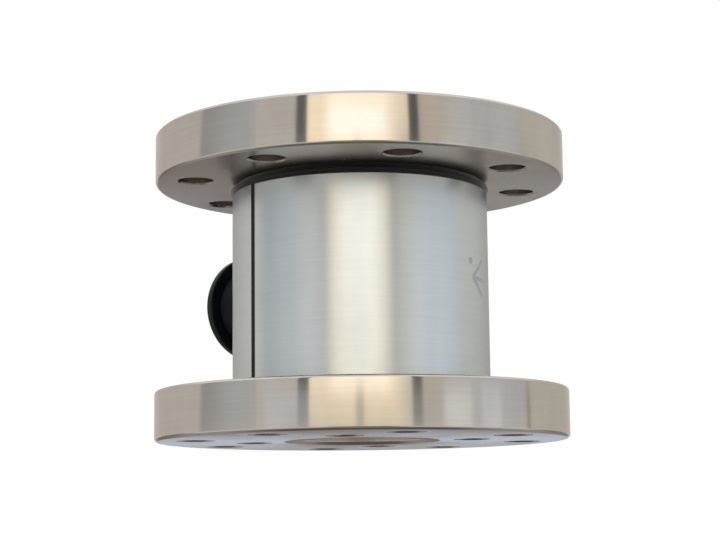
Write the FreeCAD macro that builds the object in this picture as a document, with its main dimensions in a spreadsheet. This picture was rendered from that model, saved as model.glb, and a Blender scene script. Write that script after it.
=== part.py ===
import FreeCAD, Part
import math
import os
import Sketcher

# Reaction torque sensor: a one-piece spool with two bolted flanges and a gauged tube between
# them, a cover split into two half shells, and an electrical connector on the rear half.
# Origin: centre of the lower flange's face. +Z runs along the sensor's axis, +Y points to the
# connector, and the splits of the cover lie on -X and +X.

SIZES = [
    # torsion body
    ("flange_dia", 101.6, "outside diameter of both flanges"),
    ("flange_thick", 12.2, "thickness of each flange"),
    ("body_length", 75.7, "face to face"),
    ("bore_dia", 36.8, "through bore"),
    ("tube_dia", 45.0, "gauged tube, outside"),
    ("tube_fillet", 5.0, "blend between the tube and its shoulders"),
    ("spigot_height", 8.0, "lower shoulder that carries the cover"),
    ("shoulder_height", 8.0, "upper shoulder inside the seal ring"),
    ("rim_break", 0.6, "chamfer on the flange rims"),
    ("bore_break", 0.8, "chamfer at the bore's mouths"),
    ("bolt_edge", 9.525, "bolt hole centres from the flange rim"),
    ("bolt_hole", 8.74, "flange bolt hole"),
    ("bolt_count", 8, "holes in each flange"),
    ("bolt_clock", 22.5, "first bolt hole, degrees from +X"),
    ("inner_edge", 8.59, "tapped hole centres from the bore"),
    ("inner_hole", 8.5, "tapped hole"),
    ("inner_count", 4, "tapped holes"),
    ("inner_clock", 45, "first tapped hole, degrees from +X"),
    ("inner_depth", 9.5, "full-diameter depth of the tapped holes"),
    ("hole_break", 0.35, "chamfer at the mouths of the holes"),
    # cover and seals
    ("cover_dia", 63.5, "outside diameter of the cover"),
    ("cover_wall", 2.5, "wall of the cover"),
    ("cover_break", 0.3, "chamfer on the cover's upper outer edge"),
    ("slit", 1.6, "width of each split"),
    ("seal_height", 2.4, "soft ring between cover and upper flange"),
    ("seal_proud", 0.55, "how far the soft ring stands out of the cover"),
    ("slit_recess", 0.25, "how far the split seals lie under the surface"),
    ("fit_gap", 0.1, "clearance between close round fits"),
    ("run_gap", 0.6, "free gap between cover and upper shoulder"),
    ("cord_dia", 1.8, "section of the lower sealing ring"),
    # gauges and board
    ("gauge_thick", 0.2, "carrier film"),
    ("grid_thick", 0.1, "foil grid"),
    ("gauge_height", 12.0, "carrier height"),
    ("gauge_width", 13.4, "carrier width round the tube"),
    ("grid_bar", 0.7, "width of one grid bar"),
    ("grid_pitch", 1.4, "pitch of the grid bars"),
    ("harness_dia", 1.2, "gauge wiring loop"),
    ("board_width", 16.4, "terminal board across X"),
    ("board_end_gap", 0.65, "board ends from the blends of the tube"),
    ("board_thick", 1.2, "terminal board"),
    ("board_back", 1.7, "free space between tube and board"),
    ("post_dia", 4.0, "posts that carry the board"),
    ("post_inset", 2.2, "post axis from the board's edges"),
    ("board_screw_dia", 1.9, "shank of the board screws"),
    ("board_head_dia", 3.4, "head of the board screws"),
    ("board_head", 1.1, "head height of the board screws"),
    ("chip_width", 1.6, "trimming resistor"),
    ("chip_length", 3.2, "trimming resistor"),
    ("chip_thick", 0.8, "trimming resistor"),
    # connector
    ("conn_reach", 50.5, "outer face of the collar from the sensor's axis"),
    ("collar_dia", 28.0, "wide collar of the connector shell"),
    ("collar_thick", 2.4, "wide collar of the connector shell"),
    ("neck_dia", 19.2, "neck of the adapter"),
    ("neck_flare", 1.6, "neck grows by this much at the collar"),
    ("neck_bore", 15.0, "bore of the adapter"),
    ("saddle_dia", 30.6, "saddle flange of the adapter"),
    ("saddle_thick", 3.0, "saddle flange at its thinnest"),
    ("gasket_thick", 0.7, "saddle gasket"),
    ("port_dia", 10.4, "port for the leads in the cover and the gasket"),
    ("screw_circle", 24.5, "circle of the adapter screws"),
    ("adapter_screw_dia", 2.4, "shank of the adapter screws"),
    ("adapter_head_dia", 4.4, "head of the adapter screws"),
    ("adapter_head", 2.5, "head height of the adapter screws"),
    ("socket_flats", 2.0, "hexagon in the screw heads"),
    ("socket_depth", 1.2, "hexagon in the screw heads"),
    ("oring_circle", 17.1, "centre line of the connector's sealing ring"),
    ("oring_dia", 1.0, "section of the connector's sealing ring"),
    ("barrel_dia", 19.0, "front barrel of the shell"),
    ("barrel_length", 6.6, "front barrel of the shell"),
    ("mouth_dia", 15.8, "mouth of the shell"),
    ("mouth_depth", 6.0, "mouth, down to the insert"),
    ("tail_length", 10.5, "threaded tail of the shell behind the collar"),
    ("insert_thick", 1.6, "wide part of the insert"),
    ("insert_tail_dia", 12.6, "narrow part of the insert"),
    ("insert_tail", 6.5, "narrow part of the insert"),
    ("pin_dia", 1.0, "contact pin"),
    ("pin_count", 6, "contacts"),
    ("pin_circle", 8.4, "contact circle"),
    ("pin_reach", 4.6, "contact length in front of the insert"),
    ("pin_tail", 2.5, "contact length behind the insert"),
    ("lug_dia", 1.8, "bayonet lug"),
    ("lug_height", 1.0, "bayonet lug"),
    ("lug_count", 3, "bayonet lugs"),
    ("lead_dia", 0.9, "insulated lead"),
]

doc = FreeCAD.newDocument("TorqueSensor")
sheet = doc.addObject("Spreadsheet::Sheet", "Sizes")
for row, (alias, value, note) in enumerate(SIZES, start=1):
    sheet.set("A%d" % row, alias)
    sheet.set("B%d" % row, str(value))
    sheet.set("C%d" % row, note)
    sheet.setAlias("B%d" % row, alias)

# Levels and radii that follow from the sizes above.
DERIVED = [
    ("flange_rad", "flange_dia / 2"),
    ("bolt_circle_rad", "flange_rad - bolt_edge"),
    ("bore_rad", "bore_dia / 2"),
    ("inner_circle_rad", "bore_rad + inner_edge"),
    ("tube_rad", "tube_dia / 2"),
    ("cover_rad", "cover_dia / 2"),
    ("cover_inner", "cover_rad - cover_wall"),
    ("spigot_rad", "cover_inner - fit_gap"),
    ("shoulder_rad", "cover_inner - run_gap"),
    ("upper_face", "body_length - flange_thick"),
    ("cover_top", "upper_face - seal_height"),
    ("cover_height", "cover_top - flange_thick"),
    ("groove_depth", "cord_dia"),
    ("groove_level", "flange_thick + spigot_height / 2"),
    ("tube_low", "flange_thick + spigot_height"),
    ("tube_high", "upper_face - shoulder_height"),
    ("gauge_level", "(tube_low + tube_high) / 2"),
    ("conn_height", "gauge_level"),
    ("gauge_arc", "gauge_width / tube_rad * 180 / pi"),
    ("gauge_rad", "tube_rad + gauge_thick"),
    ("grid_rad", "gauge_rad + grid_thick"),
    ("board_inner", "tube_rad + board_back"),
    ("board_outer", "board_inner + board_thick"),
    ("board_height", "tube_high - tube_low - 2 * tube_fillet - 2 * board_end_gap"),
    ("post_across", "board_width / 2 - post_inset"),
    ("post_up", "board_height / 2 - post_inset"),
    ("post_end", "sqrt((cover_rad - cover_wall / 2) ^ 2 - post_across ^ 2)"),
    ("post_hole_end", "post_end - cover_wall / 4"),
    ("seat_rad", "cover_rad + gasket_thick + fit_gap"),
    ("saddle_face", "seat_rad + saddle_thick"),
    ("collar_back", "conn_reach - collar_thick"),
    ("screw_across", "screw_circle / 2 * sqrt(0.5)"),
    ("adapter_screw_end", "sqrt(cover_inner ^ 2 - screw_across ^ 2) + fit_gap"),
    ("barrel_end", "conn_reach + barrel_length"),
    ("insert_face", "barrel_end - mouth_depth"),
    ("insert_step", "insert_face - insert_thick"),
    ("insert_end", "insert_step - insert_tail"),
    ("pin_end", "insert_end - pin_tail"),
    ("tail_end", "collar_back - tail_length"),
]
first = len(SIZES) + 1
for row, (alias, formula) in enumerate(DERIVED, start=first):
    sheet.set("A%d" % row, alias)
    sheet.set("B%d" % row, "=" + formula)
    sheet.setAlias("B%d" % row, alias)
doc.recompute()

NAMES = [alias for alias, value, note in SIZES] + [alias for alias, formula in DERIVED]


def bind(text):
    """Turn plain names of sizes into references to the sheet."""
    words = []
    word = ""
    for letter in text + " ":
        if letter.isalnum() or letter == "_":
            word += letter
            continue
        words.append("Sizes." + word if word in NAMES else word)
        words.append(letter)
        word = ""
    return "".join(words).strip()


def number(text):
    """Present value of an expression in the sheet's names."""
    return float(sheet.evalExpression(bind(text)))


def tie(thing, **sizes):
    """Bind properties of an object to expressions."""
    for name, text in sizes.items():
        thing.setExpression(name, bind(text))


def plane(body, role):
    return next(item for item in body.Origin.OriginFeatures if item.Role == role)


def new_body(name):
    body = doc.addObject("PartDesign::Body", name)
    body.Label = name
    return body


def new_sketch(body, name, role, level=None):
    """Empty sketch on one of the body's own planes, moved along its normal by level."""
    sketch = body.newObject("Sketcher::SketchObject", name)
    sketch.AttachmentSupport = [(plane(body, role), "")]
    sketch.MapMode = "FlatFace"
    if level is not None:
        sketch.setExpression("AttachmentOffset.Base.z", bind(level))
    return sketch


def pin_point(sketch, geometry, vertex, across, up):
    """Hold one point of the sketch at a position given by two expressions."""
    for kind, text in (("DistanceX", across), ("DistanceY", up)):
        value = number(text)
        item = sketch.addConstraint(Sketcher.Constraint(kind, -1, 1, geometry, vertex, value))
        sketch.setExpression("Constraints[%d]" % item, bind(text))


def polygon(sketch, points):
    """Closed outline whose corners are held by expressions."""
    corners = [FreeCAD.Vector(number(across), number(up), 0) for across, up in points]
    count = len(corners)
    base = sketch.GeometryCount
    for index in range(count):
        line = Part.LineSegment(corners[index], corners[(index + 1) % count])
        sketch.addGeometry(line)
    for index in range(count):
        after = base + (index + 1) % count
        sketch.addConstraint(Sketcher.Constraint("Coincident", base + index, 2, after, 1))
    for index, (across, up) in enumerate(points):
        pin_point(sketch, base + index, 1, across, up)


def circle(sketch, across, up, diameter):
    """Circle held by its centre and diameter."""
    centre = FreeCAD.Vector(number(across), number(up), 0)
    up_axis = FreeCAD.Vector(0, 0, 1)
    index = sketch.addGeometry(Part.Circle(centre, up_axis, number(diameter) / 2))
    pin_point(sketch, index, 3, across, up)
    item = sketch.addConstraint(Sketcher.Constraint("Diameter", index, number(diameter)))
    sketch.setExpression("Constraints[%d]" % item, bind(diameter))


def revolve(body, name, sketch, kind="PartDesign::Revolution"):
    turn = body.newObject(kind, name)
    turn.Profile = sketch
    turn.ReferenceAxis = (sketch, ["V_Axis"])
    turn.Angle = 360
    doc.recompute()
    return turn


def pocket(body, name, sketch, length=None, both=False, flip=False):
    """Cut, through everything or to a length, that has to take material away."""
    before = body.Shape.Volume
    cut = body.newObject("PartDesign::Pocket", name)
    cut.Profile = sketch
    cut.Reversed = flip
    if length is None:
        cut.Type = "ThroughAll"
    else:
        tie(cut, Length=length)
    cut.Midplane = both
    doc.recompute()
    if not cut.Shape.Volume < before:
        raise RuntimeError(name + " takes nothing away")
    return cut


def pattern(body, name, feature, axis, count):
    polar = body.newObject("PartDesign::PolarPattern", name)
    polar.Originals = [feature]
    polar.Axis = axis
    polar.Angle = 360
    tie(polar, Occurrences=count)
    body.Tip = polar
    doc.recompute()
    return polar


def round_edges(shape, radius, levels):
    """Names of the full circles of one radius at the given levels of Z."""
    names = []
    for index, edge in enumerate(shape.Edges, start=1):
        curve = edge.Curve
        if not isinstance(curve, Part.Circle) or abs(curve.Radius - radius) > 1e-4:
            continue
        if min(abs(curve.Center.z - level) for level in levels) < 1e-4:
            names.append("Edge%d" % index)
    return names


def dress(body, kind, name, radius, levels, size):
    """Fillet or chamfer on the round edges of one radius."""
    base = body.Tip
    edges = round_edges(base.Shape, number(radius), [number(level) for level in levels])
    if not edges:
        raise RuntimeError(name + " finds no edge")
    item = body.newObject("PartDesign::" + kind, name)
    item.Base = (base, edges)
    if kind == "Fillet":
        tie(item, Radius=size)
    else:
        tie(item, Size=size)
    doc.recompute()
    return item


def along_connector(thing):
    """Set a piece built along its own Z on the connector's axis."""
    turn = FreeCAD.Rotation(FreeCAD.Vector(1, 0, 0), -90)
    thing.Placement = FreeCAD.Placement(FreeCAD.Vector(0, 0, 0), turn)
    thing.setExpression("Placement.Base.z", bind("conn_height"))


def cylinder(name, diameter, height, angle=None):
    item = doc.addObject("Part::Cylinder", name)
    tie(item, Radius="(" + diameter + ") / 2", Height=height)
    if angle is not None:
        tie(item, Angle=angle)
    return item


def block(name, length, width, height, corner):
    """Box with its lowest corner at the three expressions of corner."""
    item = doc.addObject("Part::Box", name)
    tie(item, Length=length, Width=width, Height=height)
    place(item, *corner)
    return item


def place(item, x="0", y="0", z="0"):
    for letter, text in (("x", x), ("y", y), ("z", z)):
        if text != "0":
            item.setExpression("Placement.Base." + letter, bind(text))


def cut(name, base, tool):
    item = doc.addObject("Part::Cut", name)
    item.Base = base
    item.Tool = tool
    return item


def group(name, items):
    """Several separate solids that are kept as one sub-part."""
    item = doc.addObject("Part::Compound", name)
    item.Links = items
    item.Label = name
    return item


# Torsion body: turned profile, groove, drilled flanges, blended tube.

torsion = new_body("torsion_body")
turned = new_sketch(torsion, "torsion_profile", "XZ_Plane")
polygon(turned, [
    ("bore_rad", "0"),
    ("flange_rad", "0"),
    ("flange_rad", "flange_thick"),
    ("spigot_rad", "flange_thick"),
    ("spigot_rad", "tube_low"),
    ("tube_rad", "tube_low"),
    ("tube_rad", "tube_high"),
    ("shoulder_rad", "tube_high"),
    ("shoulder_rad", "upper_face"),
    ("flange_rad", "upper_face"),
    ("flange_rad", "body_length"),
    ("bore_rad", "body_length"),
])
revolve(torsion, "torsion_turned", turned)
dress(torsion, "Fillet", "tube_blend", "tube_rad", ["tube_low", "tube_high"], "tube_fillet")
dress(torsion, "Chamfer", "rim_chamfer", "flange_rad",
      ["0", "flange_thick", "upper_face", "body_length"], "rim_break")
dress(torsion, "Chamfer", "bore_chamfer", "bore_rad", ["0", "body_length"], "bore_break")

ring_groove = new_sketch(torsion, "ring_groove_profile", "XZ_Plane")
polygon(ring_groove, [
    ("spigot_rad - groove_depth", "groove_level - cord_dia / 2 - fit_gap"),
    ("spigot_rad + 1", "groove_level - cord_dia / 2 - fit_gap"),
    ("spigot_rad + 1", "groove_level + cord_dia / 2 + fit_gap"),
    ("spigot_rad - groove_depth", "groove_level + cord_dia / 2 + fit_gap"),
])
revolve(torsion, "ring_groove", ring_groove, "PartDesign::Groove")

bolt_sketch = new_sketch(torsion, "bolt_hole_sketch", "XY_Plane")
circle(bolt_sketch, "bolt_circle_rad * cos(bolt_clock * 1deg)",
       "bolt_circle_rad * sin(bolt_clock * 1deg)", "bolt_hole")
bolt_cut = pocket(torsion, "bolt_hole_cut", bolt_sketch, flip=True)
pattern(torsion, "bolt_holes", bolt_cut, (bolt_sketch, ["N_Axis"]), "bolt_count")
dress(torsion, "Chamfer", "bolt_hole_chamfer", "bolt_hole / 2",
      ["0", "flange_thick", "upper_face", "body_length"], "hole_break")

tapped_sketch = new_sketch(torsion, "tapped_hole_sketch", "XY_Plane")
circle(tapped_sketch, "inner_circle_rad * cos(inner_clock * 1deg)",
       "inner_circle_rad * sin(inner_clock * 1deg)", "inner_hole")
tapped_cut = pocket(torsion, "tapped_hole_cut", tapped_sketch, length="inner_depth", flip=True)
pattern(torsion, "tapped_holes", tapped_cut, (tapped_sketch, ["N_Axis"]), "inner_count")
dress(torsion, "Chamfer", "tapped_hole_chamfer", "inner_hole / 2", ["0"], "hole_break")


# Cover: two half shells that stand on the lower flange, with a split on each side.

def half_shell(name, side):
    """Half of the cover; side is -1 for the front and 1 for the rear."""
    body = new_body(name)
    sketch = new_sketch(body, name + "_section", "XY_Plane", "flange_thick")
    half_slit = number("slit") / 2
    normal = FreeCAD.Vector(0, 0, 1)
    origin = FreeCAD.Vector(0, 0, 0)
    ends = []
    for radius in ("cover_rad", "cover_inner"):
        size = number(radius)
        lean = math.asin(half_slit / size)
        start = lean if side > 0 else math.pi + lean
        stop = math.pi - lean if side > 0 else 2 * math.pi - lean
        ring = Part.Circle(origin, normal, size)
        index = sketch.addGeometry(Part.ArcOfCircle(ring, start, stop))
        sketch.addConstraint(Sketcher.Constraint("Coincident", index, 3, -1, 1))
        item = sketch.addConstraint(Sketcher.Constraint("Radius", index, size))
        sketch.setExpression("Constraints[%d]" % item, bind(radius))
        across = math.sqrt(size ** 2 - half_slit ** 2)
        right = FreeCAD.Vector(across, side * half_slit, 0)
        left = FreeCAD.Vector(-across, side * half_slit, 0)
        ends.append((index, (right, left) if side > 0 else (left, right)))
    (outer, outer_ends), (inner, inner_ends) = ends
    for vertex in (1, 2):
        line = Part.LineSegment(outer_ends[vertex - 1], inner_ends[vertex - 1])
        index = sketch.addGeometry(line)
        sketch.addConstraint(Sketcher.Constraint("Coincident", index, 1, outer, vertex))
        sketch.addConstraint(Sketcher.Constraint("Coincident", index, 2, inner, vertex))
        for end in (1, 2):
            level = side * half_slit
            held = Sketcher.Constraint("DistanceY", -1, 1, index, end, level)
            item = sketch.addConstraint(held)
            text = "slit / 2" if side > 0 else "-slit / 2"
            sketch.setExpression("Constraints[%d]" % item, bind(text))
    wall = body.newObject("PartDesign::Pad", name + "_wall")
    wall.Profile = sketch
    tie(wall, Length="cover_height")
    doc.recompute()
    dress(body, "Chamfer", name + "_chamfer", "cover_rad", ["cover_top"], "cover_break")
    return body


front = half_shell("cover_front", -1)
rear = half_shell("cover_rear", 1)

# Posts for the terminal board stand on the inside of the rear half.
corners = [(across, up) for across in ("-", "") for up in ("-", "+")]
post_sketch = new_sketch(rear, "post_sketch", "XZ_Plane", "-board_outer")
for across, up in corners:
    circle(post_sketch, across + "post_across", "conn_height " + up + " post_up", "post_dia")
posts = rear.newObject("PartDesign::Pad", "posts")
posts.Profile = post_sketch
posts.Reversed = True
tie(posts, Length="post_end - board_outer")
doc.recompute()
post_holes = new_sketch(rear, "post_hole_sketch", "XZ_Plane", "-board_outer")
for across, up in corners:
    circle(post_holes, across + "post_across", "conn_height " + up + " post_up",
           "board_screw_dia + fit_gap")
pocket(rear, "post_holes", post_holes, length="post_hole_end - board_outer")
port_sketch = new_sketch(rear, "port_sketch", "XZ_Plane")
circle(port_sketch, "0", "conn_height", "port_dia")
for across, up in corners:
    circle(port_sketch, across + "screw_across", "conn_height " + up + " screw_across",
           "adapter_screw_dia + fit_gap")
pocket(rear, "connector_port", port_sketch)


# Seals.

for name, x in (("split_seal_left", "slit_recess - cover_rad"),
                ("split_seal_right", "spigot_rad + fit_gap / 2")):
    strip = block(name, "cover_rad - slit_recess - spigot_rad - fit_gap / 2", "slit",
                  "cover_height", (x, "-slit / 2", "flange_thick"))
    strip.Label = name

soft = new_body("upper_seal_ring")
soft_profile = new_sketch(soft, "upper_seal_profile", "XZ_Plane")
polygon(soft_profile, [
    ("shoulder_rad + fit_gap", "cover_top"),
    ("cover_rad + seal_proud - seal_height / 4", "cover_top"),
    ("cover_rad + seal_proud", "cover_top + seal_height / 4"),
    ("cover_rad + seal_proud", "upper_face - seal_height / 4"),
    ("cover_rad + seal_proud - seal_height / 4", "upper_face"),
    ("shoulder_rad + fit_gap", "upper_face"),
])
revolve(soft, "upper_seal_turned", soft_profile)


def ring_section(sketch, middle, level, size):
    """Section of a squeezed ring: eight flats round a centre."""
    half = "(%s) / 2" % size
    flat = "(%s) * 0.2" % size
    signs = [("-", "-", 0), ("+", "-", 0), ("+", "-", 1), ("+", "+", 1),
             ("+", "+", 0), ("-", "+", 0), ("-", "+", 1), ("-", "-", 1)]
    points = []
    for across, up, side in signs:
        reach = (half, flat) if side else (flat, half)
        points.append(("%s %s %s" % (middle, across, reach[0]), "%s %s %s" % (level, up, reach[1])))
    polygon(sketch, points)


lower_seal = new_body("lower_seal_ring")
lower_section = new_sketch(lower_seal, "lower_seal_profile", "XZ_Plane")
ring_section(lower_section, "cover_inner - fit_gap / 2 - cord_dia / 2", "groove_level", "cord_dia")
revolve(lower_seal, "lower_seal_turned", lower_section)


# Strain gauges: a carrier film that follows the tube, with two slanted foil grids.

def slanted_bar(name, side, step):
    """Box through the foil, leaning 45 degrees to one side of the gauge's middle."""
    bar = doc.addObject("Part::Box", name)
    tie(bar, Length="2 * tube_rad", Width="grid_bar", Height="gauge_height / 2")
    middle = number("gauge_arc") / 2 + side * number("gauge_arc") / 5
    about = FreeCAD.Rotation(FreeCAD.Vector(0, 0, 1), middle)
    lean = FreeCAD.Rotation(FreeCAD.Vector(1, 0, 0), 45 * side)
    shift = number("grid_pitch") * step - number("grid_bar") / 2
    inner = FreeCAD.Vector(0, shift, -number("gauge_height") / 4)
    outer = FreeCAD.Placement(FreeCAD.Vector(0, 0, number("gauge_height") / 2), about)
    turned_box = FreeCAD.Placement(FreeCAD.Vector(0, 0, 0), lean)
    bar.Placement = outer * turned_box * FreeCAD.Placement(inner, FreeCAD.Rotation())
    return bar


def gauge(name, turn):
    """Gauge whose middle lies at the given angle from +X."""
    film = cut(name + "_film", cylinder(name + "_span", "2 * gauge_rad", "gauge_height", "gauge_arc"),
               cylinder(name + "_core", "2 * tube_rad", "gauge_height"))
    foil = cut(name + "_foil", cylinder(name + "_skin", "2 * grid_rad", "gauge_height", "gauge_arc"),
               cylinder(name + "_under", "2 * gauge_rad", "gauge_height"))
    bars = [slanted_bar("%s_bar_%d_%d" % (name, 1 + (side > 0), step + 2), side, step)
            for side in (-1, 1) for step in (-1, 0, 1)]
    grid = doc.addObject("Part::Common", name + "_grid")
    grid.Base = foil
    grid.Tool = group(name + "_bars", bars)
    whole = doc.addObject("Part::Fuse", name)
    whole.Base = film
    whole.Tool = grid
    whole.Label = name
    start = FreeCAD.Rotation(FreeCAD.Vector(0, 0, 1), turn - number("gauge_arc") / 2)
    whole.Placement = FreeCAD.Placement(FreeCAD.Vector(0, 0, 0), start)
    place(whole, z="gauge_level - gauge_height / 2")
    return whole


gauges = [gauge("gauge_%d" % (index + 1), 45 + 90 * index) for index in range(4)]

# Wiring loop round the tube, just under the gauges, with its end at the board.
harness = new_body("gauge_harness")
harness_level = "gauge_level - gauge_height / 2 - harness_dia"
harness_section = new_sketch(harness, "harness_profile", "XZ_Plane")
ring_section(harness_section, "tube_rad + fit_gap / 2 + harness_dia / 2", harness_level, "harness_dia")
revolve(harness, "harness_loop", harness_section)
branch_sketch = new_sketch(harness, "harness_end_sketch", "XZ_Plane", "-tube_rad - harness_dia / 2")
circle(branch_sketch, "0", harness_level, "harness_dia * 0.7")
branch = harness.newObject("PartDesign::Pad", "harness_end")
branch.Profile = branch_sketch
branch.Reversed = True
tie(branch, Length="board_back - harness_dia / 2")
doc.recompute()


# Terminal board on the posts, its screws and its trimming resistors.

def through_board(name, across, up, diameter, length, start):
    """Round piece parallel to Y through a corner of the board."""
    item = cylinder(name, diameter, length)
    item.Placement = FreeCAD.Placement(FreeCAD.Vector(0, 0, 0),
                                       FreeCAD.Rotation(FreeCAD.Vector(1, 0, 0), -90))
    place(item, x=across, y=start, z=up)
    return item


blank = block("board_blank", "board_width", "board_thick", "board_height",
              ("-board_width / 2", "board_inner", "conn_height - board_height / 2"))
drills = [through_board("board_drill_%d" % index, across + "post_across",
                        "conn_height " + up + " post_up", "board_screw_dia + fit_gap",
                        "2 * board_thick", "board_inner - board_thick / 2")
          for index, (across, up) in enumerate(corners, start=1)]
board = cut("terminal_board", blank, group("board_drills", drills))
board.Label = "terminal_board"

screws = []
for index, (across, up) in enumerate(corners, start=1):
    x = across + "post_across"
    z = "conn_height " + up + " post_up"
    head = through_board("board_screw_head_%d" % index, x, z, "board_head_dia", "board_head",
                         "board_inner - board_head")
    shank = through_board("board_screw_shank_%d" % index, x, z, "board_screw_dia",
                          "post_hole_end - board_inner - fit_gap", "board_inner")
    screw = doc.addObject("Part::Fuse", "board_screw_%d" % index)
    screw.Base = head
    screw.Tool = shank
    screws.append(screw)
group("board_screws", screws)

chips = []
for side in (-1, 1):
    for row in (-1, 1):
        name = "resistor_%d" % (len(chips) + 1)
        x = "%d * chip_width - chip_width / 2" % side
        z = "conn_height + %d * (pin_circle / 2 + lead_dia + chip_length / 2) - chip_length / 2" % row
        chips.append(block(name, "chip_width", "chip_thick", "chip_length", (x, "board_outer", z)))
group("trim_resistors", chips)


# Connector. Its pieces are built along their own Z, which is the distance from the sensor's axis.

quarter = [("", "+"), ("-", "+"), ("-", "-"), ("", "-")]

gasket_ring = cut("gasket_ring", cylinder("gasket_outside", "2 * (seat_rad - fit_gap / 2)", "saddle_dia"),
                  cylinder("gasket_inside", "cover_dia + fit_gap", "saddle_dia"))
place(gasket_ring, z="conn_height - saddle_dia / 2")
gasket_disc = cylinder("gasket_disc", "saddle_dia", "saddle_face")
along_connector(gasket_disc)
gasket_blank = doc.addObject("Part::Common", "gasket_blank")
gasket_blank.Base = gasket_ring
gasket_blank.Tool = gasket_disc
gasket_port = cylinder("gasket_port", "port_dia", "saddle_face")
along_connector(gasket_port)
punches = [gasket_port]
for index, (across, up) in enumerate(quarter, start=1):
    punches.append(through_board("gasket_punch_%d" % index, across + "screw_across",
                                 "conn_height " + up + " screw_across",
                                 "adapter_screw_dia + fit_gap", "saddle_face", "0"))
gasket = cut("connector_gasket", gasket_blank, group("gasket_punches", punches))
gasket.Label = "connector_gasket"

adapter = new_body("connector_adapter")
along_connector(adapter)
adapter_profile = new_sketch(adapter, "adapter_profile", "XZ_Plane")
polygon(adapter_profile, [
    ("neck_bore / 2", "cover_rad / 2"),
    ("saddle_dia / 2", "cover_rad / 2"),
    ("saddle_dia / 2", "saddle_face"),
    ("neck_dia / 2", "saddle_face"),
    ("neck_dia / 2", "collar_back - 2 * neck_flare"),
    ("neck_dia / 2 + neck_flare", "collar_back"),
    ("neck_bore / 2", "collar_back"),
])
revolve(adapter, "adapter_turned", adapter_profile)
saddle_sketch = new_sketch(adapter, "saddle_sketch", "XZ_Plane")
circle(saddle_sketch, "0", "0", "2 * seat_rad")
pocket(adapter, "saddle_cut", saddle_sketch, both=True)
adapter_holes = new_sketch(adapter, "adapter_hole_sketch", "XY_Plane", "saddle_face")
circle(adapter_holes, "screw_across", "screw_across", "adapter_screw_dia + 2 * fit_gap")
adapter_hole = pocket(adapter, "adapter_hole", adapter_holes, length="saddle_face")
pattern(adapter, "adapter_hole_pattern", adapter_hole, (adapter_holes, ["N_Axis"]), "4")
ring_seat = new_sketch(adapter, "oring_groove_profile", "XZ_Plane")
polygon(ring_seat, [
    ("oring_circle / 2 - oring_dia / 2 - fit_gap", "collar_back - oring_dia"),
    ("oring_circle / 2 + oring_dia / 2 + fit_gap", "collar_back - oring_dia"),
    ("oring_circle / 2 + oring_dia / 2 + fit_gap", "collar_back + 1"),
    ("oring_circle / 2 - oring_dia / 2 - fit_gap", "collar_back + 1"),
])
revolve(adapter, "oring_groove", ring_seat, "PartDesign::Groove")

small_ring = new_body("connector_oring")
along_connector(small_ring)
small_section = new_sketch(small_ring, "connector_oring_profile", "XZ_Plane")
ring_section(small_section, "oring_circle / 2", "collar_back - oring_dia / 2", "oring_dia")
revolve(small_ring, "connector_oring_turned", small_section)

heads = []
for index, (across, up) in enumerate(quarter, start=1):
    x = across + "screw_across"
    z = "conn_height " + up + " screw_across"
    head = through_board("adapter_screw_head_%d" % index, x, z, "adapter_head_dia",
                         "adapter_head", "saddle_face")
    shank = through_board("adapter_screw_shank_%d" % index, x, z, "adapter_screw_dia",
                          "saddle_face - adapter_screw_end", "adapter_screw_end")
    solid = doc.addObject("Part::Fuse", "adapter_screw_solid_%d" % index)
    solid.Base = head
    solid.Tool = shank
    key = doc.addObject("Part::Prism", "adapter_screw_socket_%d" % index)
    key.Polygon = 6
    tie(key, Circumradius="socket_flats / 2 / cos(30deg)", Height="adapter_head")
    key.Placement = FreeCAD.Placement(FreeCAD.Vector(0, 0, 0),
                                      FreeCAD.Rotation(FreeCAD.Vector(1, 0, 0), -90))
    place(key, x=x, y="saddle_face + adapter_head - socket_depth", z=z)
    heads.append(cut("adapter_screw_%d" % index, solid, key))
group("adapter_screws", heads)

shell = new_body("connector_shell")
along_connector(shell)
shell_profile = new_sketch(shell, "shell_profile", "XZ_Plane")
polygon(shell_profile, [
    ("insert_tail_dia / 2 + fit_gap", "tail_end"),
    ("neck_bore / 2 - fit_gap", "tail_end"),
    ("neck_bore / 2 - fit_gap", "collar_back"),
    ("collar_dia / 2", "collar_back"),
    ("collar_dia / 2", "conn_reach"),
    ("barrel_dia / 2", "conn_reach"),
    ("barrel_dia / 2", "barrel_end"),
    ("mouth_dia / 2", "barrel_end"),
    ("mouth_dia / 2", "insert_step"),
    ("insert_tail_dia / 2 + fit_gap", "insert_step"),
])
revolve(shell, "shell_turned", shell_profile)
lug_sketch = new_sketch(shell, "lug_sketch", "XZ_Plane", "mouth_dia / 2 + (barrel_dia - mouth_dia) / 4")
circle(lug_sketch, "0", "conn_reach + barrel_length * 0.55", "lug_dia")
lug = shell.newObject("PartDesign::Pad", "lug")
lug.Profile = lug_sketch
tie(lug, Length="(barrel_dia - mouth_dia) / 4 + lug_height")
doc.recompute()
lug_turn = new_sketch(shell, "lug_axis", "XY_Plane")
pattern(shell, "lugs", lug, (lug_turn, ["N_Axis"]), "lug_count")
dress(shell, "Chamfer", "collar_chamfer", "collar_dia / 2", ["collar_back", "conn_reach"], "cover_break")

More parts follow.
